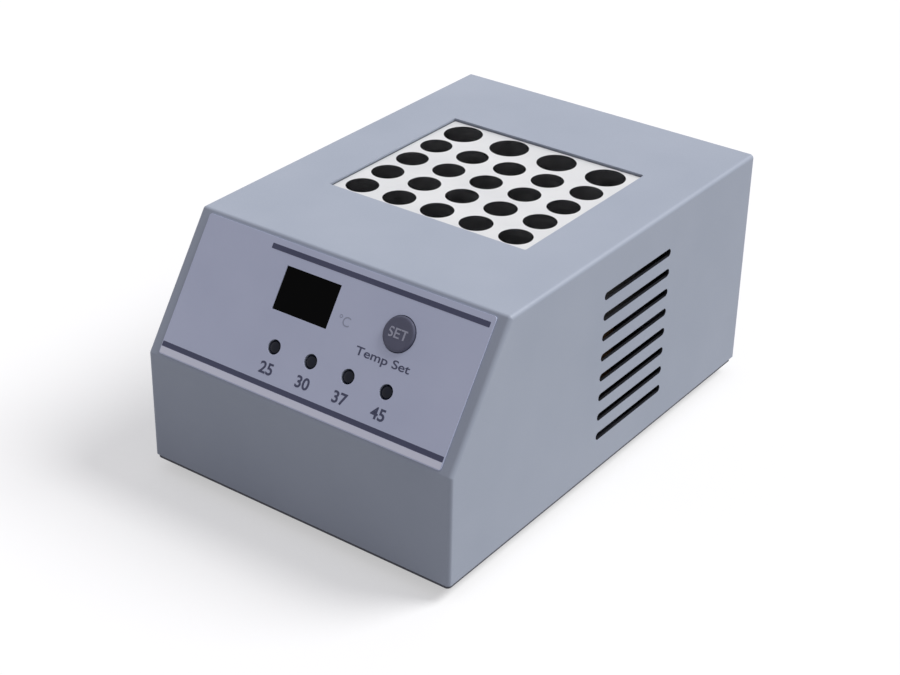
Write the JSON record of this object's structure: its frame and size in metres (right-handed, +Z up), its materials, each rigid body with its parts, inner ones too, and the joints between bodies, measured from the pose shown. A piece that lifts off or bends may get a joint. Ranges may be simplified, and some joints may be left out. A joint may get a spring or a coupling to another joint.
{
  "type": "dry bath incubator",
  "caption": "Bench dry bath with a sloped control panel and an aluminium block drilled with tube wells",
  "frame": {"origin": "on the bench, under the middle of the object's box", "axes": "+Z up, +X to the right seen from the front, the control panel faces -Y"},
  "size_m": [0.14, 0.2074, 0.0995],
  "materials": {
    "case_paint": "fine satin powder coat, blue grey",
    "base_steel": "dark satin coat",
    "overlay": "satin silver grey print",
    "block_aluminium": "machined and bead blasted",
    "plate_aluminium": "mill finish",
    "foot_rubber": "matt moulded",
    "screw_steel": "nickel plated",
    "window": "dark filter, polished",
    "module_plastic": "moulded",
    "board": "glass-fibre laminate",
    "light_lens": "dark tinted lens",
    "button_plastic": "moulded, dark grey",
    "switch_plastic": "moulded, black",
    "inlet_plastic": "moulded, black",
    "contact_metal": "plated",
    "heater_silicone": "silicone laminate",
    "insulation": "needled felt, graphite grey",
    "column_laminate": "phenolic",
    "probe_steel": "polished",
    "core_steel": "varnished laminations",
    "winding": "taped coil",
    "capacitor": "sleeve",
    "terminal_plastic": "moulded, green",
    "fuse_glass": "clear tube",
    "wire_sleeve": "extruded insulation",
    "ribbon": "flat cable"
  },
  "bodies": {
    "case": {"top_cover": "case_paint", "base_plate": "base_steel", "rubber_feet": "foot_rubber", "foot_screws": "screw_steel", "foot_nuts": "screw_steel", "cover_screws": "screw_steel", "rear_panel": "case_paint", "rear_panel_screws": "screw_steel", "front_overlay": "overlay", "display_window": "window", "display_module": "module_plastic", "display_board": "board", "display_board_spacers": "contact_metal", "display_board_screws": "screw_steel", "indicator_lights": "light_lens", "tact_switch": "module_plastic", "heating_block": "block_aluminium", "heater_mat": "heater_silicone", "clamp_plate": "plate_aluminium", "block_columns": "column_laminate", "column_screws": "screw_steel", "block_insulation": "insulation", "temperature_sensor": "probe_steel", "thermal_cutout": "module_plastic", "cutout_screws": "screw_steel", "control_board": "board", "control_board_spacers": "contact_metal", "control_board_screws": "screw_steel", "transformer_core": "core_steel", "transformer_winding": "winding", "heat_sink": "plate_aluminium", "triac": "module_plastic", "smoothing_capacitor": "capacitor", "control_chip": "module_plastic", "terminal_block": "terminal_plastic", "power_inlet": "inlet_plastic", "inlet_pins": "contact_metal", "inlet_screws": "screw_steel", "inlet_nuts": "screw_steel", "switch_housing": "switch_plastic", "switch_terminals": "contact_metal", "earth_stud": "screw_steel", "earth_nut": "contact_metal", "ribbon_cable": "ribbon", "sensor_lead": "wire_sleeve", "heater_leads": "wire_sleeve", "mains_wires": "wire_sleeve"},
    "button": {"set_button": "button_plastic", "switch_plunger": "switch_plastic"},
    "rocker": {"power_rocker": "switch_plastic"},
    "drawer": {"fuse_drawer": "inlet_plastic", "fuse": "fuse_glass", "fuse_caps": "screw_steel"}
  },
  "joints": [
    {"name": "button_press", "type": "slide", "parent": "case", "child": "button", "axis": [0, 0.824, -0.5665], "range_m": [0, 0.0008], "stiffness_N_per_m": 1500, "springref_m": -0.0005},
    {"name": "rocker_tip", "type": "hinge", "parent": "case", "child": "rocker", "pos_m": [0.03, 0.09914, 0.0345], "axis": [1, 0, 0], "range_deg": [0, 20]},
    {"name": "drawer_slide", "type": "slide", "parent": "case", "child": "drawer", "axis": [0, 1, 0], "range_m": [0, 0.011]}
  ]
}
